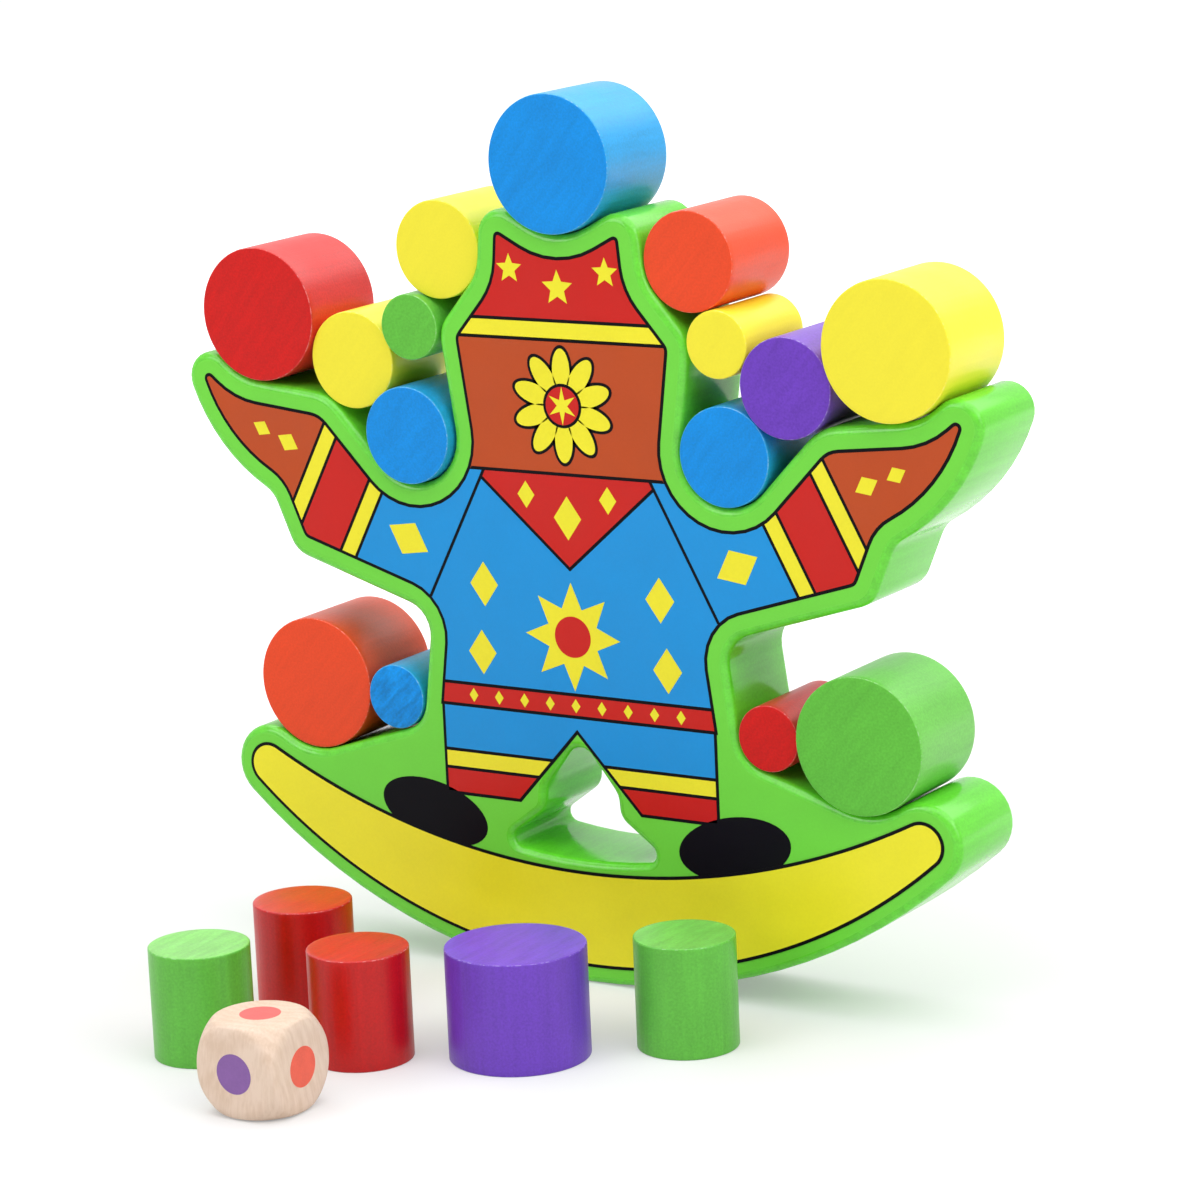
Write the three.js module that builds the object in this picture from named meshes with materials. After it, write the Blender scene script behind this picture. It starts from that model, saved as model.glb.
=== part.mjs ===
// Wooden balance game: a rocking board in the shape of a figure with raised arms,
// round blocks stacked along its seats, loose blocks beside it and a colour die.
// Millimetres, +Z up. The players look at the board's face from the -Y side.
import * as THREE from 'three';
import { ConvexGeometry } from 'three/addons/geometries/ConvexGeometry.js';

// Round blocks, sawn from dowel
const LARGE_DIAMETER = 36;
const MEDIUM_DIAMETER = 26;
const SMALL_DIAMETER = 17.5;
const BLOCK_LENGTH = 29;
const BLOCK_EASED_EDGE = 0.6;

// Colour die: a cube with its edges and corners ground away to the surface of a ball
const DIE_SIZE = 24;
const DIE_BALL_DIAMETER = 32.8;
const DIE_BALL_DETAIL = 9;

// Board, sawn from one plank and rounded over on both faces
const BOARD_THICKNESS = 30;
const BOARD_ROUND_OVER = 2;
const CHORD_ERROR = 0.06;

// Gaps between pieces that touch
const BLOCK_GAP = 0.3;
const SEAT_GAP = 0.35;

// Rocker: the arc that the board rolls on, and its rounded ends
const ROCKER_RADIUS = 163;
const ROCKER_END_RADIUS = 10.9;
const ROCKER_END_ANGLE = 41.6;
const ROCKER_END_STRAIGHT = 1.5;

// Leg opening above the rocker, with the knees standing into it from both sides
const OPENING_FLOOR = 33.5;
const OPENING_CORNER_RADIUS = 2.5;
const OPENING_CORNER_ANGLE = 8.8;
const KNEE_X = 16.6;
const KNEE_Z = 49.2;
const KNEE_RADIUS = 5.3;
const KNEE_TO_THIGH = 173;
const THIGH_RADIUS = 5.2;
const THIGH_STRAIGHT = 2;
const OPENING_APEX = 64;
const OPENING_APEX_RADIUS = 4.4;

// Corner under the arm, where it meets the body
const WAIST_HALF_WIDTH = 46;
const UNDER_ARM_HEIGHT = 90.5;
const UNDER_ARM_RADIUS = 8.5;

// First block of the upper stack, in the crook of neck and arm
const SHOULDER_X = 47.8;
const SHOULDER_Z = 144.7;

// Directions in degrees, from +X towards +Z, from one resting block to the next
const SHOULDER_TO_ELBOW = 45;
const ELBOW_TO_HAND = 20.7;
const ELBOW_TO_NECK = 153.2;
const NECK_TO_CROWN = 112.2;
const ROCKER_END_TO_SHELF = 124;
const SHELF_TO_WAIST = 182.3;

// Rounded corners of the arm and head, with the straight stretches that lead to them
const HUMP_RADIUS = 13.5;
const HUMP_STRAIGHT = 18;
const FINGER_RADIUS = 7.2;
const FINGER_STRAIGHT = 2;
const HAND_TO_FINGER = -46;
const PALM_RADIUS = 50;
const FINGER_TO_PALM = 160;
const WRIST_RADIUS = 8;
const PALM_TO_WRIST = -61;
const CUFF_RADIUS = 8;
const HUMP_TO_CUFF = -86.5;
const ARM_DEPTH = 46;
const EAR_RADIUS = 8.5;
const EAR_STRAIGHT = 11.5;
const PEAK_RADIUS = 7;
const PEAK_STRAIGHT = 6.3;
const CROWN_TO_PEAK = 168;
const TOP_STRAIGHT = 6.5;

// Paints
const BLUE = 0x2191de;
const RED = 0xd02b26;
const YELLOW = 0xf5e849;
const GREEN = 0x6abc4a;
const ORANGE = 0xe95436;
const PURPLE = 0x7045b6;
const BOARD_GREEN = 0x70d94a;
const BARE_WOOD = 0xe6cdb4;

// How far the stacked blocks' ends stand out from the board's face, left and right
const STANDS_OUT = {
  hand: [0.6, 2.2],
  elbow: [-0.9, 0.9],
  shoulder: [2.4, 0.5],
  neck: [0.3, 0.3],
  crown: [-2.4, -1.2],
  shelf: [-1.2, 1.8],
  waist: [-0.3, 0],
};
const TOP_STANDS_OUT = 2.2;

// Loose pieces on the table: sideways place, and distance in front of the board's face
const PURPLE_X = 15.6;
const PURPLE_AHEAD = 56.9;
const GREEN_LEFT_X = -58.5;
const GREEN_LEFT_AHEAD = 90.1;
const RED_BACK_X = -57.3;
const RED_BACK_AHEAD = 47.1;
const RED_FRONT_X = -19.8;
const RED_FRONT_AHEAD = 75.3;
const GREEN_RIGHT_X = 50.2;
const GREEN_RIGHT_AHEAD = 32.3;
const DIE_X = -19.7;
const DIE_AHEAD = 116.9;

// Points of the board's plane, x sideways and z up
function polar(from, distance, degrees) {
  const angle = THREE.MathUtils.degToRad(degrees);
  return { x: from.x + distance * Math.cos(angle), z: from.z + distance * Math.sin(angle) };
}

// Point at distance a from one centre and b from another, to the right of the way from first to second
function meet(first, a, second, b) {
  const span = Math.hypot(second.x - first.x, second.z - first.z);
  const along = (a * a - b * b + span * span) / (2 * span);
  const aside = Math.sqrt(a * a - along * along);
  const ux = (second.x - first.x) / span;
  const uz = (second.z - first.z) / span;
  return { x: first.x + along * ux + aside * uz, z: first.z + along * uz - aside * ux };
}

// Centre distance of two arcs that bend opposite ways and are joined by a straight stretch
function crossing(radiusA, radiusB, straight) {
  return Math.hypot(radiusA + radiusB, straight);
}

const bulge = (centre, radius) => ({ ...centre, bend: radius });
const hollow = (centre, radius) => ({ ...centre, bend: -radius });
const mirrored = (arc) => ({ ...arc, x: -arc.x });

// Seats and resting places
const large = LARGE_DIAMETER / 2;
const medium = MEDIUM_DIAMETER / 2;
const small = SMALL_DIAMETER / 2;
const largeSeat = large + SEAT_GAP;
const mediumSeat = medium + SEAT_GAP;
const smallSeat = small + SEAT_GAP;

const shoulder = { x: SHOULDER_X, z: SHOULDER_Z };
const elbow = polar(shoulder, medium + BLOCK_GAP + medium, SHOULDER_TO_ELBOW);
const hand = polar(elbow, medium + BLOCK_GAP + large, ELBOW_TO_HAND);
const neck = polar(elbow, medium + BLOCK_GAP + small, ELBOW_TO_NECK);
const crown = polar(neck, small + BLOCK_GAP + medium, NECK_TO_CROWN);

const rockerCentre = { x: 0, z: ROCKER_RADIUS };
const rockerEnd = polar(rockerCentre, ROCKER_RADIUS - ROCKER_END_RADIUS, ROCKER_END_ANGLE - 90);
const shelfReach = crossing(ROCKER_END_RADIUS, largeSeat, ROCKER_END_STRAIGHT);
const shelf = polar(rockerEnd, shelfReach, ROCKER_END_TO_SHELF);
const waist = polar(shelf, large + BLOCK_GAP + small, SHELF_TO_WAIST);

const hump = meet(
  elbow,
  mediumSeat + HUMP_RADIUS,
  hand,
  crossing(largeSeat, HUMP_RADIUS, HUMP_STRAIGHT),
);
const finger = polar(hand, crossing(largeSeat, FINGER_RADIUS, FINGER_STRAIGHT), HAND_TO_FINGER);
const palm = polar(finger, PALM_RADIUS - FINGER_RADIUS, FINGER_TO_PALM);
const wrist = polar(palm, PALM_RADIUS + WRIST_RADIUS, PALM_TO_WRIST);
const cuff = polar(hump, ARM_DEPTH - HUMP_RADIUS - CUFF_RADIUS, HUMP_TO_CUFF);
const underArm = { x: WAIST_HALF_WIDTH + UNDER_ARM_RADIUS, z: UNDER_ARM_HEIGHT };
const ear = meet(
  crown,
  crossing(mediumSeat, EAR_RADIUS, EAR_STRAIGHT),
  neck,
  smallSeat + EAR_RADIUS,
);
const peak = polar(crown, crossing(mediumSeat, PEAK_RADIUS, PEAK_STRAIGHT), CROWN_TO_PEAK);
const topReach = crossing(largeSeat, PEAK_RADIUS, TOP_STRAIGHT);
const top = { x: 0, z: peak.z + Math.sqrt(topReach ** 2 - peak.x ** 2) };

// Straight line that leaves one arc and joins the next, going round with the wood on the left
function tangent(from, to) {
  const span = Math.hypot(to.x - from.x, to.z - from.z);
  const lean = Math.acos(THREE.MathUtils.clamp((to.bend - from.bend) / span, -1, 1));
  const normal = Math.atan2(to.z - from.z, to.x - from.x) + lean;
  const point = (arc) => new THREE.Vector2(
    arc.x - arc.bend * Math.cos(normal),
    arc.z - arc.bend * Math.sin(normal),
  );
  return { start: point(from), end: point(to) };
}

// Even number of chords that keeps an arc within the chord error, so that its middle is a point
function evenSteps(radius, angle) {
  const halfStep = Math.acos(1 - CHORD_ERROR / radius);
  return 2 * Math.ceil(angle / (4 * halfStep));
}

// Closed outline that runs round a ring of arcs, bulges anticlockwise and hollows clockwise
function outline(arcs) {
  const lines = arcs.map((arc, i) => tangent(arc, arcs[(i + 1) % arcs.length]));
  return arcs.flatMap((arc, i) => {
    const entry = lines.at(i - 1).end;
    const exit = lines[i].start;
    const radius = Math.abs(arc.bend);
    const startAngle = Math.atan2(entry.y - arc.z, entry.x - arc.x);
    const endAngle = Math.atan2(exit.y - arc.z, exit.x - arc.x);
    const curve = new THREE.ArcCurve(arc.x, arc.z, radius, startAngle, endAngle, arc.bend < 0);
    return curve.getPoints(evenSteps(radius, curve.getLength() / radius));
  });
}

function boardGeometry() {
  const side = [
    bulge(rockerEnd, ROCKER_END_RADIUS),
    hollow(shelf, largeSeat),
    hollow(waist, smallSeat),
    hollow(underArm, UNDER_ARM_RADIUS),
    bulge(cuff, CUFF_RADIUS),
    hollow(wrist, WRIST_RADIUS),
    bulge(palm, PALM_RADIUS),
    bulge(finger, FINGER_RADIUS),
    hollow(hand, largeSeat),
    bulge(hump, HUMP_RADIUS),
    hollow(shoulder, mediumSeat),
    bulge(ear, EAR_RADIUS),
    hollow(crown, mediumSeat),
    bulge(peak, PEAK_RADIUS),
  ];
  const figure = new THREE.Shape(outline([
    bulge(rockerCentre, ROCKER_RADIUS),
    ...side,
    hollow(top, largeSeat),
    ...side.toReversed().map(mirrored),
  ]));

  const floorRadius = ROCKER_RADIUS - OPENING_FLOOR;
  const corner = bulge(
    polar(rockerCentre, floorRadius - OPENING_CORNER_RADIUS, OPENING_CORNER_ANGLE - 90),
    OPENING_CORNER_RADIUS,
  );
  const knee = { x: KNEE_X, z: KNEE_Z };
  const thigh = polar(knee, crossing(KNEE_RADIUS, THIGH_RADIUS, THIGH_STRAIGHT), KNEE_TO_THIGH);
  const leg = [corner, hollow(knee, KNEE_RADIUS), bulge(thigh, THIGH_RADIUS)];
  const apex = { x: 0, z: OPENING_APEX - OPENING_APEX_RADIUS };
  figure.holes.push(new THREE.Path(outline([
    bulge(rockerCentre, floorRadius),
    ...leg,
    bulge(apex, OPENING_APEX_RADIUS),
    ...leg.toReversed().map(mirrored),
  ])));

  const geometry = new THREE.ExtrudeGeometry(figure, {
    depth: BOARD_THICKNESS - 2 * BOARD_ROUND_OVER,
    bevelThickness: BOARD_ROUND_OVER,
    bevelSize: BOARD_ROUND_OVER,
    bevelOffset: -BOARD_ROUND_OVER,
    bevelSegments: 2,
  });
  return geometry
    .translate(0, 0, BOARD_ROUND_OVER - BOARD_THICKNESS)
    .rotateX(Math.PI / 2);
}

// Dowel piece with both ends eased, its axis along Y from 0 to the block's length
function blockGeometry(diameter) {
  const radius = diameter / 2;
  const profile = [
    new THREE.Vector2(0, 0),
    new THREE.Vector2(radius - BLOCK_EASED_EDGE, 0),
    new THREE.Vector2(radius, BLOCK_EASED_EDGE),
    new THREE.Vector2(radius, BLOCK_LENGTH - BLOCK_EASED_EDGE),
    new THREE.Vector2(radius - BLOCK_EASED_EDGE, BLOCK_LENGTH),
    new THREE.Vector2(0, BLOCK_LENGTH),
  ];
  return new THREE.LatheGeometry(profile, evenSteps(radius, 2 * Math.PI));
}

// Hull of the round rim that is left on each face and of the ball's points between the rims
function dieGeometry() {
  const half = DIE_SIZE / 2;
  const ball = DIE_BALL_DIAMETER / 2;
  const flat = Math.sqrt(ball ** 2 - half ** 2);
  const rim = new THREE.ArcCurve(0, 0, flat, 0, 2 * Math.PI).getPoints(evenSteps(flat, 2 * Math.PI));
  const rims = [-half, half].flatMap((face) => rim.flatMap(({ x, y }) => [
    new THREE.Vector3(face, x, y),
    new THREE.Vector3(x, face, y),
    new THREE.Vector3(x, y, face),
  ]));
  const surface = new THREE.IcosahedronGeometry(ball, DIE_BALL_DETAIL).getAttribute('position');
  const between = Array.from({ length: surface.count }, (_, i) => (
    new THREE.Vector3().fromBufferAttribute(surface, i)
  )).filter((point) => Math.max(...point.toArray().map(Math.abs)) < half);
  return new ConvexGeometry([...rims, ...between].map((point) => point.clampScalar(-half, half)));
}

function piece(name, geometry, colour, roughness = 0.4) {
  const material = new THREE.MeshStandardMaterial({ color: colour, roughness, metalness: 0 });
  const mesh = new THREE.Mesh(geometry, material);
  mesh.name = name;
  return mesh;
}

// Block lying on a seat, its end a little in front of the board's face or behind it
function stackedBlock(name, diameter, spot, standsOut, colour) {
  const block = piece(name, blockGeometry(diameter), colour);
  block.position.set(spot.x, -standsOut, spot.z);
  return block;
}

const set = new THREE.Group();
set.add(piece('rocker_board', boardGeometry(), BOARD_GREEN));

// Stacked blocks in mirrored pairs, each with its own paint
const PAIRS = [
  { size: 'large', seat: 'hand', spot: hand, colours: [RED, YELLOW] },
  { size: 'medium', seat: 'elbow', spot: elbow, colours: [YELLOW, PURPLE] },
  { size: 'medium', seat: 'shoulder', spot: shoulder, colours: [BLUE, BLUE] },
  { size: 'small', seat: 'neck', spot: neck, colours: [GREEN, YELLOW] },
  { size: 'medium', seat: 'crown', spot: crown, colours: [YELLOW, ORANGE] },
  { size: 'large', seat: 'shelf', spot: shelf, colours: [ORANGE, GREEN] },
  { size: 'small', seat: 'waist', spot: waist, colours: [BLUE, RED] },
];
const DIAMETERS = { large: LARGE_DIAMETER, medium: MEDIUM_DIAMETER, small: SMALL_DIAMETER };
for (const { size, seat, spot, colours } of PAIRS) {
  const diameter = DIAMETERS[size];
  const name = `${size}_block_${seat}`;
  const [leftOut, rightOut] = STANDS_OUT[seat];
  set.add(stackedBlock(`${name}_left`, diameter, mirrored(spot), leftOut, colours[0]));
  set.add(stackedBlock(`${name}_right`, diameter, spot, rightOut, colours[1]));
}
set.add(stackedBlock('large_block_top', LARGE_DIAMETER, top, TOP_STANDS_OUT, BLUE));

// Loose block standing on end on the table
function looseBlock(name, diameter, x, ahead, colour) {
  const block = piece(name, blockGeometry(diameter).rotateX(Math.PI / 2), colour);
  block.position.set(x, -ahead, 0);
  return block;
}

set.add(
  looseBlock('loose_block_purple', LARGE_DIAMETER, PURPLE_X, PURPLE_AHEAD, PURPLE),
  looseBlock('loose_block_green_left', MEDIUM_DIAMETER, GREEN_LEFT_X, GREEN_LEFT_AHEAD, GREEN),
  looseBlock('loose_block_red_back', MEDIUM_DIAMETER, RED_BACK_X, RED_BACK_AHEAD, RED),
  looseBlock('loose_block_red_front', MEDIUM_DIAMETER, RED_FRONT_X, RED_FRONT_AHEAD, RED),
  looseBlock('loose_block_green_right', MEDIUM_DIAMETER, GREEN_RIGHT_X, GREEN_RIGHT_AHEAD, GREEN),
);

const die = piece('colour_die', dieGeometry(), BARE_WOOD, 0.6);
die.position.set(DIE_X, -DIE_AHEAD, DIE_SIZE / 2);
set.add(die);

// The middle of the set's footprint stands at the origin
const footprint = new THREE.Box3().setFromObject(set, true).getCenter(new THREE.Vector3());
set.position.set(-footprint.x, -footprint.y, 0);

export default set;
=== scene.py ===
import math

import bmesh
import bpy
from mathutils import Matrix, Vector


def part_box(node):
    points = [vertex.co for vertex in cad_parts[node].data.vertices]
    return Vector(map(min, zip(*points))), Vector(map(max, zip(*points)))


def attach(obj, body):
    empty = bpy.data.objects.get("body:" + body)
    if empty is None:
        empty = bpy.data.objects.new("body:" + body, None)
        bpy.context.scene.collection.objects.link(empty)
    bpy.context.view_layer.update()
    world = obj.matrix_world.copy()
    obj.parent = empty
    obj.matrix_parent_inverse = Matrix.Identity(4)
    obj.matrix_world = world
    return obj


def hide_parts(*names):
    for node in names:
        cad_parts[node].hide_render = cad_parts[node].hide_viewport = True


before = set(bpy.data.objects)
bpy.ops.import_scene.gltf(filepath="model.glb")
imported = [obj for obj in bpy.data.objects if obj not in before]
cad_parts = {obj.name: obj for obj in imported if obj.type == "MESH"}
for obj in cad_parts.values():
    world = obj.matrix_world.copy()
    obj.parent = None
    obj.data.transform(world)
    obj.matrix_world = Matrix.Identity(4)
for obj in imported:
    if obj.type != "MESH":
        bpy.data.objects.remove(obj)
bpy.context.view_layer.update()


# Rocking board: one plank 30 mm thick, sawn to the figure's outline with its block seats, its rocker and
# the leg opening. Both faces are rounded over along every edge, and the whole is sprayed with glossy
# green enamel, through which the plank's layers still show on the sawn sides.
SIDE_GREEN = (101, 211, 51)
FACE_GREEN = (112, 213, 64)
ROUND_OVER = 0.002
ROUND_OVER_STEPS = 6
HOLDING_LOOP = 0.0004
SAME_PLACE = 1e-6
board_low, board_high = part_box("rocker_board")
FACE_Y = board_low.y
BACK_Y = board_high.y


def linear(rgb):
    """Screen colour of 0 to 255 as a linear colour."""
    shares = [c / 255 for c in rgb]
    return [s / 12.92 if s <= 0.04045 else ((s + 0.055) / 1.055) ** 2.4 for s in shares] + [1.0]


def noise(nodes, link, vector, scale, detail):
    """Noise texture at so many cells per metre."""
    texture = nodes.new("ShaderNodeTexNoise")
    texture.inputs["Scale"].default_value = scale
    texture.inputs["Detail"].default_value = detail
    link(vector, texture.inputs["Vector"])
    return texture.outputs["Fac"]


def weighted(nodes, link, parts):
    """Sum of texture values, each with its weight."""
    total = None
    for value, weight in parts:
        step = nodes.new("ShaderNodeMath")
        step.operation = "MULTIPLY_ADD"
        step.inputs[1].default_value = weight
        step.inputs[2].default_value = 0.0
        link(value, step.inputs[0])
        if total:
            link(total, step.inputs[2])
        total = step.outputs["Value"]
    return total


# Enamel over wood: how fine its pores, cloudy patches and pale rim patches are, and how much these change
# it
PORES_PER_METRE = 1700.0
CLOUDS_PER_METRE = 70.0
RIM_PATCHES_PER_METRE = 900.0
# Rims paler in patches: partly worn paint, partly a painted highlight along the eased edges
RIM_PALE_WEAR_AND_HIGHLIGHT = 0.25
SHEEN_VARIES = 0.06


def enamel(name, rgb, grain_scale, tone, depth, roughness, gloss, speckle=0.35, grain_turn=0.0):
    """Paint over wood: grain streaks, speckle, cloudy sheen, and pale rims: part wear, part painted
    highlight.
    """
    paint = bpy.data.materials.new(name)
    paint.use_nodes = True
    nodes = paint.node_tree.nodes
    link = paint.node_tree.links.new
    shader = nodes["Principled BSDF"]
    place = nodes.new("ShaderNodeTexCoord").outputs["Object"]
    along = nodes.new("ShaderNodeMapping")
    along.vector_type = "TEXTURE"
    along.inputs["Rotation"].default_value = (0.0, math.radians(grain_turn), 0.0)
    along.inputs["Scale"].default_value = [1 / s for s in grain_scale]
    link(place, along.inputs["Vector"])
    grain = noise(nodes, link, along.outputs["Vector"], 1.0, 4.0)
    pores = noise(nodes, link, place, PORES_PER_METRE, 3.0)
    cloud = noise(nodes, link, place, CLOUDS_PER_METRE, 3.0)

    base = linear(rgb)[:3]
    shades = nodes.new("ShaderNodeValToRGB")
    shades.color_ramp.elements[0].position = 0.34
    shades.color_ramp.elements[0].color = [c * (1 - tone) for c in base] + [1.0]
    shades.color_ramp.elements[1].position = 0.66
    shades.color_ramp.elements[1].color = [min(1.0, c * (1 + tone)) for c in base] + [1.0]
    mottle = weighted(nodes, link, ((grain, 0.8 - speckle), (pores, speckle), (cloud, 0.2)))
    link(mottle, shades.inputs["Fac"])

    # Paler paint in patches along the eased rims: partly worn paint, partly a painted highlight
    edge = nodes.new("ShaderNodeAttribute")
    edge.attribute_name = "rim_wear_and_highlight"
    rim_patches = nodes.new("ShaderNodeMapRange")
    rim_patches.inputs["From Min"].default_value = 0.50
    rim_patches.inputs["From Max"].default_value = 0.62
    link(noise(nodes, link, place, RIM_PATCHES_PER_METRE, 2.0), rim_patches.inputs["Value"])
    pale_rim_share = nodes.new("ShaderNodeMath")
    pale_rim_share.operation = "MULTIPLY"
    link(edge.outputs["Fac"], pale_rim_share.inputs[0])
    link(rim_patches.outputs["Result"], pale_rim_share.inputs[1])
    pale_rim = nodes.new("ShaderNodeMix")
    pale_rim.data_type = "RGBA"
    link(pale_rim_share.outputs["Value"], pale_rim.inputs["Factor"])
    link(shades.outputs["Color"], pale_rim.inputs["A"])
    pale_rim.inputs["B"].default_value = [(1 - RIM_PALE_WEAR_AND_HIGHLIGHT) * c + RIM_PALE_WEAR_AND_HIGHLIGHT for c in base] + [1.0]
    link(pale_rim.outputs["Result"], shader.inputs["Base Color"])

    sheen = nodes.new("ShaderNodeMapRange")
    sheen.inputs["From Min"].default_value = 0.3
    sheen.inputs["From Max"].default_value = 0.7
    sheen.inputs["To Min"].default_value = roughness - SHEEN_VARIES
    sheen.inputs["To Max"].default_value = roughness + SHEEN_VARIES
    link(cloud, sheen.inputs["Value"])
    link(sheen.outputs["Result"], shader.inputs["Roughness"])

    bump = nodes.new("ShaderNodeBump")
    bump.inputs["Strength"].default_value = 1.0
    bump.inputs["Distance"].default_value = depth
    link(weighted(nodes, link, ((grain, 1.0), (pores, 0.4))), bump.inputs["Height"])
    link(bump.outputs["Normal"], shader.inputs["Normal"])

    shader.inputs["Specular IOR Level"].default_value = gloss
    return paint


def finished(name, bm, materials, body):
    """Object from a bmesh, riding its body."""
    bmesh.ops.recalc_face_normals(bm, faces=bm.faces[:])
    mesh = bpy.data.meshes.new(name)
    bm.to_mesh(mesh)
    bm.free()
    for material in materials:
        mesh.materials.append(material)
    piece = bpy.data.objects.new(name, mesh)
    bpy.context.scene.collection.objects.link(piece)
    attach(piece, body)
    return piece


def dissolve_halves(bm, faces):
    """Flat faces on either side of the board's middle become one face each, with a plain seam between."""
    left = [f for f in faces if f.calc_center_median().x < 0]
    right = [f for f in faces if f.calc_center_median().x > 0]
    bmesh.ops.dissolve_faces(bm, faces=left)
    bmesh.ops.dissolve_faces(bm, faces=right)
    seam = [v for v in bm.verts if abs(v.co.x) < SAME_PLACE and len(v.link_edges) == 2]
    bmesh.ops.dissolve_verts(bm, verts=seam)


def flat_at(bm, y):
    """Faces that lie in the plane at that y."""
    return [f for f in bm.faces if all(abs(v.co.y - y) < SAME_PLACE for v in f.verts)]


board = bmesh.new()
board.from_mesh(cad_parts["rocker_board"].data)
bmesh.ops.remove_doubles(board, verts=board.verts[:], dist=SAME_PLACE)
not_wall = [f for f in board.faces if abs(f.normal.y) > 0.05]
bmesh.ops.delete(board, geom=not_wall, context="FACES")
for v in board.verts:
    v.co.y = FACE_Y if v.co.y < (FACE_Y + BACK_Y) / 2 else BACK_Y
diagonals = [
    e for e in board.edges
    if abs(e.verts[0].co.y - e.verts[1].co.y) > 1e-4
    and (e.verts[0].co - e.verts[1].co).xz.length > 1e-5
]
bmesh.ops.dissolve_edges(board, edges=diagonals, use_verts=False)
for y, facing in ((FACE_Y, -1), (BACK_Y, 1)):
    rim = [e for e in board.edges if e.is_boundary and all(abs(v.co.y - y) < SAME_PLACE for v in e.verts)]
    bmesh.ops.triangle_fill(board, edges=rim, use_beauty=False, use_dissolve=False, normal=(0, facing, 0))
    cap = flat_at(board, y)
    around = {g for f in cap for g in (*f.edges, *f.verts)}
    bmesh.ops.bisect_plane(
        board, geom=cap + list(around), dist=SAME_PLACE, plane_co=(0, 0, 0), plane_no=(1, 0, 0),
    )
    dissolve_halves(board, flat_at(board, y))
caps = set(flat_at(board, FACE_Y) + flat_at(board, BACK_Y))
arrises = [e for e in board.edges if len(caps.intersection(e.link_faces)) == 1]
bmesh.ops.bevel(
    board, geom=arrises, offset=ROUND_OVER, offset_type="OFFSET", segments=ROUND_OVER_STEPS, profile=0.5,
    affect="EDGES", material=-1, clamp_overlap=False, loop_slide=False,
)
face_sheet = board.copy()
for y in (FACE_Y, BACK_Y):
    bmesh.ops.inset_region(board, faces=flat_at(board, y), thickness=HOLDING_LOOP, use_even_offset=True)
flats = set(flat_at(board, FACE_Y) + flat_at(board, BACK_Y))
for f in board.faces:
    f.smooth = True
    f.material_index = 1 if f in flats else 0
board_paints = [
    enamel(
        "board_green_side", SIDE_GREEN, grain_scale=(330, 14, 330), tone=0.16, depth=0.00004,
        roughness=0.17, gloss=0.45,
    ),
    enamel(
        "board_green_face", FACE_GREEN, grain_scale=(60, 60, 60), tone=0.04, depth=0.00002,
        roughness=0.34, gloss=0.25,
    ),
]
board_piece = finished("board", board, board_paints, "rocker")
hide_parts("rocker_board")


# Print on the board's face: inks rolled on through screens, black first as the outline, then flat colours
# inside it, then the small ornaments. Each ink is a film a few hundredths of a millimetre thick.
INK_STEP = 0.00005
INK_SUNK = 0.00002
LINE = 0.0009
FIGURE_INSET = 0.0036
INKS = {
    "black": ((14, 13, 18), 0.06),
    "blue": ((16, 144, 216), 0.25),
    "yellow": ((238, 228, 44), 0.25),
    "red": ((198, 20, 10), 0.25),
    "brown": ((184, 71, 20), 0.25),
}
ink_films = {colour: bmesh.new() for colour in INKS}


def roll_on(sheet, colour, layer):
    """A flat sheet in the board's plane becomes a film of ink, and joins the others of its colour."""
    for v in sheet.verts:
        v.co.y = FACE_Y + INK_SUNK
    raised = bmesh.ops.extrude_face_region(sheet, geom=sheet.faces[:])
    top = [g for g in raised["geom"] if isinstance(g, bmesh.types.BMVert)]
    bmesh.ops.translate(sheet, verts=top, vec=(0, -INK_SUNK - layer * INK_STEP, 0))
    for f in sheet.faces:
        f.smooth = False
    bmesh.ops.recalc_face_normals(sheet, faces=sheet.faces[:])
    film = bpy.data.meshes.new("ink_film")
    sheet.to_mesh(film)
    sheet.free()
    ink_films[colour].from_mesh(film)
    bpy.data.meshes.remove(film)


def shrunk(sheet, distance):
    """The sheet drawn in from all its borders."""
    border = bmesh.ops.inset_region(
        sheet, faces=sheet.faces[:], thickness=distance, use_boundary=True, use_even_offset=True,
    )
    bmesh.ops.delete(sheet, geom=border["faces"], context="FACES")


def slit(sheet, x, z, direction):
    """Cuts the sheet along the line through x, z, in degrees from +X towards +Z."""
    turn = math.radians(direction)
    bmesh.ops.bisect_plane(
        sheet, geom=sheet.verts[:] + sheet.edges[:] + sheet.faces[:], dist=SAME_PLACE,
        plane_co=(x, 0, z), plane_no=(-math.sin(turn), 0, math.cos(turn)),
    )


def keep_where(sheet, wanted):
    """Only faces whose middle is wanted stay, joined where they touch, with straight edges made whole."""
    rest = [f for f in sheet.faces if not wanted(*f.calc_center_median().xz)]
    bmesh.ops.delete(sheet, geom=rest, context="FACES")
    bmesh.ops.dissolve_faces(sheet, faces=sheet.faces[:])
    straight = [v for v in sheet.verts if len(v.link_edges) == 2 and v.calc_edge_angle(1.0) < 0.001]
    bmesh.ops.dissolve_verts(sheet, verts=straight)


OPENING_HALF_WIDTH, OPENING_LOW_Z, OPENING_HIGH_Z = 0.03, 0.03, 0.07


def by_opening(point):
    """Whether a point of the face lies on the rim of the leg opening."""
    return abs(point.x) < OPENING_HALF_WIDTH and OPENING_LOW_Z < point.z < OPENING_HIGH_Z


not_face = list(set(face_sheet.faces) - set(flat_at(face_sheet, FACE_Y)))
bmesh.ops.delete(face_sheet, geom=not_face, context="FACES")
opening = [e for e in face_sheet.edges if e.is_boundary and all(by_opening(v.co) for v in e.verts)]
bmesh.ops.contextual_create(face_sheet, geom=opening)
bmesh.ops.dissolve_faces(face_sheet, faces=face_sheet.faces[:])

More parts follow.
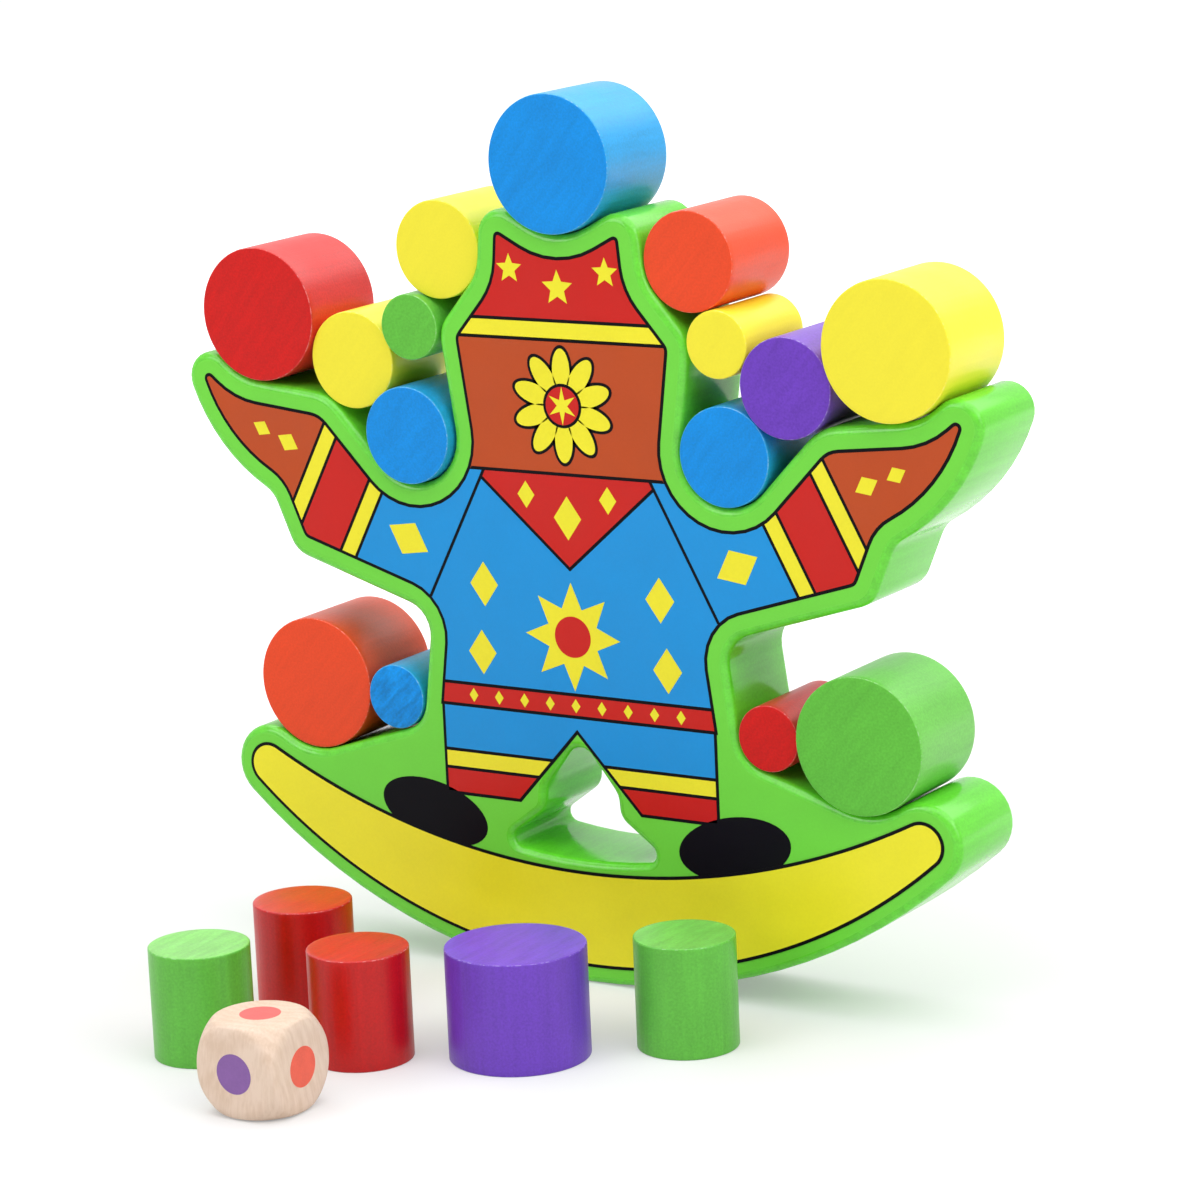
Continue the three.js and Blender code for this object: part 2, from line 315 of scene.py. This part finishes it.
# Lines that part the figure, in metres and degrees: rows across it, and stripes across the arms
HEAD_HALF_WIDTH = 0.045
NECK_Z, BAND_LOW_Z, BAND_HIGH_Z = 0.137, 0.172, 0.177
YOKE_TIP_Z, YOKE_SLOPE = 0.112, 40.8
BELT_LOW_Z, BELT_HIGH_Z = 0.0725, 0.0785
CROTCH_Z, CROTCH_SLOPE = 0.0685, -47.4
LEG_ROWS_Z = (0.060, 0.055)
ANKLE_Z = 0.048
LEG_X = 0.042
ARM_X, ARM_Z, ARM_RISE = 0.042, 0.112, 28.0
ARM_STRIPES = (-0.003, 0.022, 0.027, 0.041, 0.046)


def along_arm(x, z):
    """How far out along the arm a point lies, from the line where the arm leaves the body."""
    turn = math.radians(ARM_RISE)
    return (abs(x) - ARM_X) * math.cos(turn) + (z - ARM_Z) * math.sin(turn)


def above_line(x, z, at_x, at_z, direction):
    """How far a point lies above a sloping line, the same on either side of the board's middle."""
    turn = math.radians(direction)
    return (z - at_z) * math.cos(turn) - (abs(x) - at_x) * math.sin(turn)


def panel_at(x, z):
    """Name of the panel that a point of the face belongs to, or None on the green ground."""
    if z > NECK_Z and abs(x) < HEAD_HALF_WIDTH:
        return "crest" if z > BAND_HIGH_Z else "head_band" if z > BAND_LOW_Z else "head"
    if z > BELT_HIGH_Z:
        reach = along_arm(x, z)
        if reach > ARM_STRIPES[0]:
            return "arm_%d" % sum(reach > s for s in ARM_STRIPES)
        return "yoke" if above_line(x, z, 0, YOKE_TIP_Z, YOKE_SLOPE) > 0 else "torso"
    if z > BELT_LOW_Z:
        return "belt"
    if z > ANKLE_Z:
        on_leg = abs(x) < LEG_X and above_line(x, z, 0, CROTCH_Z, CROTCH_SLOPE) > 0
        return "leg_%d" % sum(z > row for row in LEG_ROWS_Z) if on_leg else None
    return None


PANEL_INKS = {
    "crest": "red", "head_band": "yellow", "head": "brown", "yoke": "red", "torso": "blue", "belt": "red",
    "arm_1": "blue", "arm_2": "yellow", "arm_3": "red", "arm_4": "yellow", "arm_5": "brown",
    "leg_2": "blue", "leg_1": "yellow", "leg_0": "red",
}
outline_sheet = face_sheet.copy()
shrunk(outline_sheet, FIGURE_INSET)
bmesh.ops.triangulate(outline_sheet, faces=outline_sheet.faces[:])
SPREAD = LINE / 2
slit(outline_sheet, 0, BELT_LOW_Z - SPREAD, 0)
slit(outline_sheet, 0, ANKLE_Z - SPREAD, 0)
CROTCH_EDGE_Z = CROTCH_Z - SPREAD / math.cos(math.radians(CROTCH_SLOPE))
for side in (-1, 1):
    slit(outline_sheet, side * (LEG_X + SPREAD), 0, 90)
    slit(outline_sheet, 0, CROTCH_EDGE_Z, side * CROTCH_SLOPE)


def on_figure(x, z):
    """Whether a point of the face is within the figure's black outline."""
    if z > BELT_LOW_Z - SPREAD:
        return True
    on_leg = abs(x) < LEG_X + SPREAD and above_line(x, z, 0, CROTCH_EDGE_Z, CROTCH_SLOPE) > 0
    return z > ANKLE_Z - SPREAD and on_leg


keep_where(outline_sheet, on_figure)
roll_on(outline_sheet, "black", 1)

shrunk(face_sheet, FIGURE_INSET + SPREAD)
bmesh.ops.triangulate(face_sheet, faces=face_sheet.faces[:])
for z in (NECK_Z, BAND_LOW_Z, BAND_HIGH_Z, BELT_LOW_Z, BELT_HIGH_Z, *LEG_ROWS_Z, ANKLE_Z):
    slit(face_sheet, 0, z, 0)
for side in (-1, 1):
    turn = math.radians(ARM_RISE)
    for stripe in ARM_STRIPES:
        x = ARM_X + stripe * math.cos(turn)
        slit(face_sheet, side * x, ARM_Z + stripe * math.sin(turn), side * (ARM_RISE + 90))
    slit(face_sheet, 0, YOKE_TIP_Z, side * YOKE_SLOPE)
    slit(face_sheet, side * LEG_X, 0, 90)
    slit(face_sheet, 0, CROTCH_Z, side * CROTCH_SLOPE)
for panel, colour in PANEL_INKS.items():
    sheet = face_sheet.copy()
    keep_where(sheet, lambda x, z: panel_at(x, z) == panel)
    shrunk(sheet, SPREAD)
    roll_on(sheet, colour, 2)
face_sheet.free()


def ornament(colour, layer, x, z, radius, corners=48, width=1.0, notch=1.0, turn=0.0):
    """Disc, diamond, star or petal of ink: a ring of corners, every other one drawn in, then narrowed."""
    sheet = bmesh.new()
    upright = Matrix.Translation((x, 0, z)) @ Matrix.Rotation(math.radians(turn), 4, "Y")
    ring = bmesh.ops.create_circle(
        sheet, cap_ends=True, segments=corners, radius=radius, matrix=Matrix.Rotation(math.pi / 2, 4, "X"),
    )
    bmesh.ops.scale(sheet, verts=ring["verts"][1::2], vec=(notch, 1, notch))
    bmesh.ops.scale(sheet, verts=sheet.verts[:], vec=(width, 1, 1))
    bmesh.ops.transform(sheet, matrix=upright, verts=sheet.verts[:])
    roll_on(sheet, colour, layer)


# Flower on the head, sun on the chest, feet, and diamonds and stars along the crest, arms, yoke and belt
FLOWER_Z, FLOWER_EYE, FLOWER_EYE_EDGE = 0.155, 0.0050, 0.0058
PETALS, PETAL_REACH, PETAL, PETAL_EDGE_WIDTH, PETAL_WIDTH = 10, 0.0092, 0.0062, 0.52, 0.46
SUN_Z, SUN, SUN_NOTCH, SUN_EYE = 0.094, 0.0145, 0.55, 0.0055
STAR_CORNERS, STAR_NOTCH = 10, 0.45
MIDDLE_STAR_Z, MIDDLE_STAR = 0.1855, 0.0048
SIDE_STAR_X, SIDE_STAR_Z, SIDE_STAR = 0.0145, 0.1900, 0.0040
FOOT_X, FOOT_Z, FOOT, FOOT_WIDTH, FOOT_TURN = 0.0465, 0.0420, 0.0085, 2.0, 12.0
YOKE_DIAMOND_Z, YOKE_DIAMOND = 0.1255, 0.0058
BELT_Z, BELT_DIAMOND = 0.0755, 0.0019
BELT_DIAMONDS_X = (0.0080, 0.0160, 0.0240, 0.0320)
DIAMOND_WIDTH = 0.72
DIAMONDS = (
    (0.0270, 0.1060, 0.0060), (0.0285, 0.0875, 0.0060), (0.0125, 0.1310, 0.0036),
    *((x, BELT_Z, BELT_DIAMOND) for x in BELT_DIAMONDS_X),
)
ARM_DIAMONDS = ((0.0095, 0.0000, 0.0068), (0.0540, 0.0030, 0.0036), (0.0630, 0.0020, 0.0030))
for i in range(PETALS):
    turn = 360 * i / PETALS
    x = PETAL_REACH * math.sin(math.radians(turn))
    z = FLOWER_Z + PETAL_REACH * math.cos(math.radians(turn))
    ornament("black", 3, x, z, PETAL + LINE / 2, corners=32, width=PETAL_EDGE_WIDTH, turn=turn)
    ornament("yellow", 4, x, z, PETAL - LINE / 2, corners=32, width=PETAL_WIDTH, turn=turn)
ornament("black", 5, 0, FLOWER_Z, FLOWER_EYE_EDGE)
ornament("red", 6, 0, FLOWER_Z, FLOWER_EYE)
ornament("yellow", 7, 0, FLOWER_Z, FLOWER_EYE, corners=12, width=0.9, notch=0.35)
ornament("yellow", 3, 0, SUN_Z, SUN, corners=16, notch=SUN_NOTCH)
ornament("red", 4, 0, SUN_Z, SUN_EYE)
ornament("yellow", 3, 0, MIDDLE_STAR_Z, MIDDLE_STAR, corners=STAR_CORNERS, notch=STAR_NOTCH)
ornament("yellow", 3, 0, YOKE_DIAMOND_Z, YOKE_DIAMOND, corners=4, width=DIAMOND_WIDTH)
for side in (-1, 1):
    ornament(
        "yellow", 3, side * SIDE_STAR_X, SIDE_STAR_Z, SIDE_STAR, corners=STAR_CORNERS, notch=STAR_NOTCH,
    )
    ornament("black", 2, side * FOOT_X, FOOT_Z, FOOT, width=FOOT_WIDTH, turn=-side * FOOT_TURN)
    for x, z, size in DIAMONDS:
        ornament("yellow", 3, side * x, z, size, corners=4, width=DIAMOND_WIDTH)
    for reach, aside, size in ARM_DIAMONDS:
        turn = math.radians(ARM_RISE)
        x = ARM_X + reach * math.cos(turn) - aside * math.sin(turn)
        z = ARM_Z + reach * math.sin(turn) + aside * math.cos(turn)
        arm_turn = -side * (ARM_RISE - 90)
        ornament("yellow", 3, side * x, z, size, corners=4, width=DIAMOND_WIDTH, turn=arm_turn)
ornament("yellow", 3, 0, BELT_Z, BELT_DIAMOND, corners=4, width=DIAMOND_WIDTH)

# Crescent along the rocker: a yellow stripe with round ends that keeps its distance from the rocker's edge
ROCKER_Z, CRESCENT_LOW, CRESCENT_HIGH = 0.163, 0.1579, 0.2123
CRESCENT_TOP_Z = 0.0303
CRESCENT_END_X, CRESCENT_END_Z = 0.1010, 0.0493


def crescent(grow):
    """Sheet inside the stripe's outline, drawn by one point that turns about four centres."""
    sheet = bmesh.new()
    hub = CRESCENT_TOP_Z + CRESCENT_HIGH
    low = math.atan2(CRESCENT_END_X, ROCKER_Z - CRESCENT_END_Z)
    high = math.atan2(CRESCENT_END_X, hub - CRESCENT_END_Z)
    reach = CRESCENT_LOW + grow
    tip = sheet.verts.new((-reach * math.sin(low), 0, ROCKER_Z - reach * math.cos(low)))
    turns = (
        ((0, 0, ROCKER_Z), 2 * low, 64),
        ((CRESCENT_END_X, 0, CRESCENT_END_Z), math.pi - low + high, 24),
        ((0, 0, hub), -2 * high, 64),
        ((-CRESCENT_END_X, 0, CRESCENT_END_Z), math.pi - low + high, 24),
    )
    for centre, angle, steps in turns:
        run = bmesh.ops.spin(sheet, geom=[tip], cent=centre, axis=(0, -1, 0), angle=angle, steps=steps)
        tip = next(g for g in run["geom_last"] if isinstance(g, bmesh.types.BMVert))
    bmesh.ops.remove_doubles(sheet, verts=sheet.verts[:], dist=SAME_PLACE)
    bmesh.ops.contextual_create(sheet, geom=sheet.edges[:])
    return sheet


roll_on(crescent(LINE / 2), "black", 3)
roll_on(crescent(-LINE / 2), "yellow", 4)

for colour, films in ink_films.items():
    rgb, gloss = INKS[colour]
    ink = enamel(
        "print_%s_ink" % colour, rgb, grain_scale=(60, 60, 60), tone=0.04, depth=0.00001,
        roughness=0.34, gloss=gloss,
    )
    finished("print_" + colour, films, [ink], "rocker")


# Stacked blocks: short lengths of hardwood dowel in three sizes, sawn square, eased at the ends and dipped
# in satin enamel. They lie loose in the board's seats and on each other, and nothing fastens them.
# Each paint: a colour on end grain, a lighter one on side grain as a painted highlight, and how mottled the
# coat is.
PAINTS_WITH_LIT_SIDES = {
    "blue": ((4, 138, 221), (34, 160, 226), 0.16),
    "red": ((203, 20, 16), (208, 40, 36), 0.16),
    "yellow": ((241, 228, 57), (246, 233, 52), 0.03),
    "green": ((96, 185, 62), (108, 194, 74), 0.14),
    "orange": ((230, 73, 35), (236, 76, 34), 0.09),
    "purple": ((106, 60, 184), (118, 74, 194), 0.16),
}
BLOCK_RADII = {"large": 0.018, "medium": 0.013, "small": 0.00875}
BLOCK_EASED = 0.0004
BLOCK_HOLD = 0.0018
BLOCK_SIDES = 96
STACKED = {
    "large_block_top": "blue",
    "large_block_hand_left": "red",
    "large_block_hand_right": "yellow",
    "medium_block_elbow_left": "yellow",
    "medium_block_elbow_right": "purple",
    "medium_block_shoulder_left": "blue",
    "medium_block_shoulder_right": "blue",
    "small_block_neck_left": "green",
    "small_block_neck_right": "yellow",
    "medium_block_crown_left": "yellow",
    "medium_block_crown_right": "orange",
    "large_block_shelf_left": "orange",
    "large_block_shelf_right": "green",
    "small_block_waist_left": "blue",
    "small_block_waist_right": "red",
}


def dowel(foot, axis, radius, length):
    """Dowel piece from the middle of one end: half its section, rounded at two corners and spun."""
    bm = bmesh.new()
    hold = BLOCK_HOLD
    outline = [
        (0, 0), (radius - hold, 0), (radius, 0), (radius, hold),
        (radius, length - hold), (radius, length), (radius - hold, length), (0, length),
    ]
    points = [bm.verts.new(foot + Vector((r, 0, 0)) + axis * h) for r, h in outline]
    for a, b in zip(points, points[1:]):
        bm.edges.new((a, b))
    bmesh.ops.bevel(
        bm, geom=[points[2], points[5]], offset=BLOCK_EASED, offset_type="OFFSET", segments=4, profile=0.5,
        affect="VERTICES", material=-1, clamp_overlap=False,
    )
    bmesh.ops.spin(
        bm, geom=bm.verts[:] + bm.edges[:], cent=foot, axis=axis, angle=2 * math.pi, steps=BLOCK_SIDES,
        use_merge=True,
    )
    bmesh.ops.remove_doubles(bm, verts=bm.verts[:], dist=SAME_PLACE)
    bm.normal_update()
    for f in bm.faces:
        f.smooth = True
        f.material_index = 1 if abs(f.normal.dot(axis)) > 0.9 else 0
    # The eased rims get the paler rim paint: partly wear, partly a painted highlight
    rim_wear_and_highlight = bm.verts.layers.float.new("rim_wear_and_highlight")
    for v in bm.verts:
        at = (v.co - foot).dot(axis)
        inward = radius - (v.co - foot - axis * at).length
        v[rim_wear_and_highlight] = 1.0 if max(inward, min(at, length - at)) < BLOCK_EASED / 2 else 0.0
    return bm


# The side materials take the lighter colour: a painted highlight on the sides.
lying_paints = {
    colour: [
        enamel(
            "lying_%s_side" % colour, side, grain_scale=(600, 40, 600), tone=mottle, depth=0.00008,
            roughness=0.36, gloss=0.5, speckle=0.5,
        ),
        enamel(
            "lying_%s_end" % colour, end, grain_scale=(520, 60, 80), tone=mottle, depth=0.00005,
            roughness=0.5, gloss=0.22, speckle=0.5, grain_turn=40.0,
        ),
    ]
    for colour, (end, side, mottle) in PAINTS_WITH_LIT_SIDES.items()
}
striped_end = enamel(
    "waist_left_end", PAINTS_WITH_LIT_SIDES["blue"][0], grain_scale=(680, 60, 170), tone=0.40, depth=0.00012,
    roughness=0.5, gloss=0.22, speckle=0.25, grain_turn=45.0,
)
for node, colour in STACKED.items():
    low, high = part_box(node)
    middle = (low + high) / 2
    foot = Vector((middle.x, low.y, middle.z))
    block = dowel(foot, Vector((0, 1, 0)), BLOCK_RADII[node.split("_")[0]], high.y - low.y)
    body = node.replace("_block", "")
    side, end = lying_paints[colour]
    if node == "small_block_waist_left":
        end = striped_end
    piece = finished(body + "_dowel", block, [side, end], body)
    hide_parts(node)


# Loose blocks: five more of the same dowel pieces, one large and four medium, sawn and dipped like the
# others. They wait for their turn in the game, standing on end on the table in front of the board.
# Each paint: a side colour darkened as painted shade, a lighter top colour as painted sheen, how streaky
# the top is.
LOOSE = {
    "loose_block_purple": ("table_block", "purple", "large"),
    "loose_block_green_left": ("loose_green_left", "green", "medium"),
    "loose_block_red_back": ("loose_red_back", "red", "medium"),
    "loose_block_red_front": ("loose_red_front", "red", "medium"),
    "loose_block_green_right": ("loose_green_right", "green", "medium"),
}
SHADED_SIDE_SHEEN_TOP_PAINTS = {
    "purple": ((105, 59, 184), (129, 80, 207), 0.20),
    "green": ((93, 180, 60), (124, 205, 90), 0.22),
    "red": ((192, 12, 9), (208, 34, 29), 0.20),
}
# The side materials carry the painted shade, the top materials the painted sheen.
standing_paints = {
    colour: [
        enamel(
            "standing_%s_side" % colour, side, grain_scale=(600, 600, 40), tone=0.16, depth=0.00008,
            roughness=0.36, gloss=0.4, speckle=0.5,
        ),
        enamel(
            "standing_%s_top" % colour, top, grain_scale=(520, 80, 60), tone=streaks, depth=0.00008,
            roughness=0.34, gloss=0.7, speckle=0.35,
        ),
    ]
    for colour, (side, top, streaks) in SHADED_SIDE_SHEEN_TOP_PAINTS.items()
}
for node, (body, colour, size) in LOOSE.items():
    low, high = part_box(node)
    middle = (low + high) / 2
    foot = Vector((middle.x, middle.y, low.z))
    block = dowel(foot, Vector((0, 0, 1)), BLOCK_RADII[size], high.z - low.z)
    name = node.replace("block_", "") + "_dowel"
    piece = finished(name, block, standing_paints[colour], body)
    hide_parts(node)


# Colour die: a cube of bare pale wood, tumbled until a ball's round cuts its edges and corners away, and
# sanded smooth. It is thrown to choose the colour of the next block, and stands loose on the table.
DIE_SIZE = 0.024
DIE_BALL = 0.0164
DIE_SOFT = 0.0014
DIE_CUTS = 47
DOT_FILM = 0.00005
DIE_HEART = Vector((-0.004, 0.024, 0.0))
HEART_TURN = (0.20, 0.12, 0.0)
RINGS_PER_METRE = 130.0
FIBRES_PER_METRE = 1500.0
FIBRE_STRETCH = 0.08
TONES_PER_METRE = 160.0
WOOD_PALE = (228, 204, 185)
WOOD_DARK = (216, 189, 167)


def bare_wood(name, heart):
    """Sanded wood: faint growth rings about an axis through a point, with fine fibres and a cloudy tone."""
    wood = bpy.data.materials.new(name)
    wood.use_nodes = True
    nodes = wood.node_tree.nodes
    link = wood.node_tree.links.new
    shader = nodes["Principled BSDF"]
    turned = nodes.new("ShaderNodeMapping")
    turned.vector_type = "TEXTURE"
    turned.inputs["Location"].default_value = heart
    turned.inputs["Rotation"].default_value = HEART_TURN
    link(nodes.new("ShaderNodeTexCoord").outputs["Object"], turned.inputs["Vector"])
    rings = nodes.new("ShaderNodeTexWave")
    rings.wave_type = "RINGS"
    rings.rings_direction = "Z"
    rings.inputs["Scale"].default_value = RINGS_PER_METRE
    rings.inputs["Distortion"].default_value = 3.0
    rings.inputs["Detail"].default_value = 3.0
    rings.inputs["Detail Scale"].default_value = 1.5
    link(turned.outputs["Vector"], rings.inputs["Vector"])
    stretched = nodes.new("ShaderNodeMapping")
    stretched.inputs["Scale"].default_value = (1.0, 1.0, FIBRE_STRETCH)
    link(turned.outputs["Vector"], stretched.inputs["Vector"])
    fibres = noise(nodes, link, stretched.outputs["Vector"], FIBRES_PER_METRE, 3.0)
    cloud = noise(nodes, link, turned.outputs["Vector"], TONES_PER_METRE, 3.0)
    figure = weighted(nodes, link, ((rings.outputs["Fac"], 0.10), (fibres, 0.48), (cloud, 0.42)))
    tones = nodes.new("ShaderNodeValToRGB")
    tones.color_ramp.elements[0].position = 0.36
    tones.color_ramp.elements[0].color = linear(WOOD_DARK)
    tones.color_ramp.elements[1].position = 0.60
    tones.color_ramp.elements[1].color = linear(WOOD_PALE)
    link(figure, tones.inputs["Fac"])
    link(tones.outputs["Color"], shader.inputs["Base Color"])
    bump = nodes.new("ShaderNodeBump")
    bump.inputs["Strength"].default_value = 1.0
    bump.inputs["Distance"].default_value = 0.00004
    link(fibres, bump.inputs["Height"])
    link(bump.outputs["Normal"], shader.inputs["Normal"])
    shader.inputs["Roughness"].default_value = 0.6
    shader.inputs["Specular IOR Level"].default_value = 0.3
    return wood


low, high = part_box("colour_die")
die_middle = (low + high) / 2
die = bmesh.new()
bmesh.ops.create_cube(die, size=1.0)
bmesh.ops.subdivide_edges(die, edges=die.edges[:], cuts=DIE_CUTS, use_grid_fill=True)
for v in die.verts:
    toward = v.co.normalized()
    face = (DIE_SIZE / 2 - DOT_FILM) / max(abs(c) for c in toward)
    near = max(0.0, 1 - abs(face - DIE_BALL) / DIE_SOFT)
    v.co = die_middle + toward * (min(face, DIE_BALL) - DIE_SOFT / 4 * near ** 2)
for f in die.faces:
    f.smooth = True
die_piece = finished("die", die, [bare_wood("die_bare_wood", die_middle + DIE_HEART)], "die")
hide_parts("colour_die")


# Dots on the die: one round spot of paint stamped in the middle of each face, a different colour on each.
# The paint is a thin film, half sunk into the wood, so that it is flush with the die's full size.
# Each dot has its colour and the turns about x, y and z that bring it from the top to its face.
DOT_RADIUS = 0.0051
DOTS = {
    "red": ((226, 106, 104), (0, 0, 0)),
    "green": ((106, 188, 74), (180, 0, 0)),
    "purple": ((132, 92, 158), (90, 0, 0)),
    "yellow": ((240, 226, 70), (-90, 0, 0)),
    "orange": ((233, 98, 76), (0, 90, 0)),
    "blue": ((40, 146, 220), (0, -90, 0)),
}
for colour, (rgb, turn) in DOTS.items():
    dot = bmesh.new()
    bmesh.ops.create_circle(dot, cap_ends=True, segments=64, radius=DOT_RADIUS)
    raised = bmesh.ops.extrude_face_region(dot, geom=dot.faces[:])
    top = [g for g in raised["geom"] if isinstance(g, bmesh.types.BMVert)]
    bmesh.ops.translate(dot, verts=top, vec=(0, 0, 2 * DOT_FILM))
    bmesh.ops.translate(dot, verts=dot.verts[:], vec=(0, 0, DIE_SIZE / 2 - 2 * DOT_FILM))
    for axis, angle in zip("XYZ", turn):
        bmesh.ops.rotate(dot, verts=dot.verts[:], matrix=Matrix.Rotation(math.radians(angle), 3, axis))
    bmesh.ops.translate(dot, verts=dot.verts[:], vec=die_middle)
    paint = enamel(
        "dot_%s_paint" % colour, rgb, grain_scale=(300, 300, 300), tone=0.08, depth=0.00002,
        roughness=0.5, gloss=0.3,
    )
    finished("die_dot_" + colour, dot, [paint], "die")


# Floor and light: a plain white sheet under everything, a wide soft lamp overhead and two weaker ones at
# the right and the front left. Looked at directly the sheet is white, and it still takes the shadows.
FLOOR_RADIUS = 9.0
FLOOR_BOUNCE = (0.75, 0.75, 0.74, 1.0)
FLOOR_SHADE = (0.56, 0.56, 0.56, 1.0)
GLOW_STARTS, GLOW_ENDS = 0.15, 0.8
GLOW_NEAR, GLOW_FAR = 0.30, 0.88
WHITE = (1.0, 1.0, 1.0, 1.0)
SOFT_LIGHT = 0.18
floor_mesh = bmesh.new()
bmesh.ops.create_circle(floor_mesh, cap_ends=True, segments=64, radius=FLOOR_RADIUS)
floor_data = bpy.data.meshes.new("floor")
floor_mesh.to_mesh(floor_data)
floor_mesh.free()
floor = bpy.data.objects.new("floor", floor_data)
bpy.context.scene.collection.objects.link(floor)


def seen_directly(nodes, link):
    """1 where the camera, a reflection or a see-through surface looks straight at something."""
    path = nodes.new("ShaderNodeLightPath")
    first = nodes.new("ShaderNodeMath")
    first.operation = "MAXIMUM"
    link(path.outputs["Is Camera Ray"], first.inputs[0])
    link(path.outputs["Is Glossy Ray"], first.inputs[1])
    both = nodes.new("ShaderNodeMath")
    both.operation = "MAXIMUM"
    link(first.outputs["Value"], both.inputs[0])
    link(path.outputs["Is Transmission Ray"], both.inputs[1])
    return both.outputs["Value"]


sheet_white = bpy.data.materials.new("floor_white")
sheet_white.use_nodes = True
nodes = sheet_white.node_tree.nodes
link = sheet_white.node_tree.links.new
nodes.remove(nodes["Principled BSDF"])
bounce = nodes.new("ShaderNodeBsdfDiffuse")
bounce.inputs["Color"].default_value = FLOOR_BOUNCE
shade = nodes.new("ShaderNodeBsdfDiffuse")
shade.inputs["Color"].default_value = FLOOR_SHADE
place = nodes.new("ShaderNodeTexCoord")
away = nodes.new("ShaderNodeVectorMath")
away.operation = "LENGTH"
link(place.outputs["Object"], away.inputs[0])
fade = nodes.new("ShaderNodeMapRange")
fade.inputs["From Min"].default_value = GLOW_STARTS
fade.inputs["From Max"].default_value = GLOW_ENDS
fade.inputs["To Min"].default_value = GLOW_NEAR
fade.inputs["To Max"].default_value = GLOW_FAR
link(away.outputs["Value"], fade.inputs["Value"])
glow = nodes.new("ShaderNodeEmission")
link(fade.outputs["Result"], glow.inputs["Strength"])
shown = nodes.new("ShaderNodeAddShader")
link(shade.outputs["BSDF"], shown.inputs[0])
link(glow.outputs["Emission"], shown.inputs[1])
chosen = nodes.new("ShaderNodeMixShader")
link(seen_directly(nodes, link), chosen.inputs["Fac"])
link(bounce.outputs["BSDF"], chosen.inputs[1])
link(shown.outputs["Shader"], chosen.inputs[2])
link(chosen.outputs["Shader"], nodes["Material Output"].inputs["Surface"])
floor_data.materials.append(sheet_white)

world = bpy.data.worlds.new("studio")
bpy.context.scene.world = world
world.use_nodes = True
nodes = world.node_tree.nodes
link = world.node_tree.links.new
soft = nodes["Background"]
soft.inputs["Color"].default_value = WHITE
soft.inputs["Strength"].default_value = SOFT_LIGHT
white = nodes.new("ShaderNodeBackground")
white.inputs["Color"].default_value = WHITE
white.inputs["Strength"].default_value = 1.0
chosen = nodes.new("ShaderNodeMixShader")
link(seen_directly(nodes, link), chosen.inputs["Fac"])
link(soft.outputs["Background"], chosen.inputs[1])
link(white.outputs["Background"], chosen.inputs[2])
link(chosen.outputs["Shader"], nodes["World Output"].inputs["Surface"])

LAMP_AIM = Vector((0, 0, 0.1))
LAMPS = {
    "overhead": ((0.2, 0.1, 1.5), 3.2, 65.0),
    "right": ((1.3, -0.2, 0.7), 0.9, 4.0),
    "front_left": ((-0.7, -1.3, 0.8), 0.8, 6.7),
}
for name, (place, width, power) in LAMPS.items():
    lamp = bpy.data.lights.new(name, "AREA")
    lamp.shape = "SQUARE"
    lamp.size = width
    lamp.energy = power
    holder = bpy.data.objects.new(name, lamp)
    bpy.context.scene.collection.objects.link(holder)
    holder.location = place
    holder.rotation_euler = (LAMP_AIM - Vector(place)).to_track_quat("-Z", "Y").to_euler()


# Camera: well to the right of the board and a little above it, with a long lens, tipped slightly to one
# side. Its place was found from the ellipses of the block ends and the corners of the board in the photo.
CAMERA_AT = (0.59613, -0.86704, 0.34835)
CAMERA_YAW, CAMERA_PITCH, CAMERA_ROLL = 32.804, -12.489, 2.548
FOCAL_PIXELS = 4319.0
FRAME_PIXELS = 1180
SENSOR = 36.0
turned = (
    Matrix.Rotation(math.radians(CAMERA_YAW), 3, "Z")
    @ Matrix.Rotation(math.radians(CAMERA_PITCH), 3, "X")
    @ Matrix.Rotation(math.radians(CAMERA_ROLL), 3, "Y")
)
across, ahead, upward = turned.col
lens = bpy.data.cameras.new("camera")
lens.sensor_width = SENSOR
lens.lens = SENSOR * FOCAL_PIXELS / FRAME_PIXELS
lens.clip_start = 0.05
lens.clip_end = 50.0
camera = bpy.data.objects.new("camera", lens)
bpy.context.scene.collection.objects.link(camera)
axes = Matrix((across, upward, -ahead)).transposed()
camera.matrix_world = Matrix.Translation(CAMERA_AT) @ axes.to_4x4()
bpy.context.scene.camera = camera
bpy.context.scene.view_settings.view_transform = "Standard"
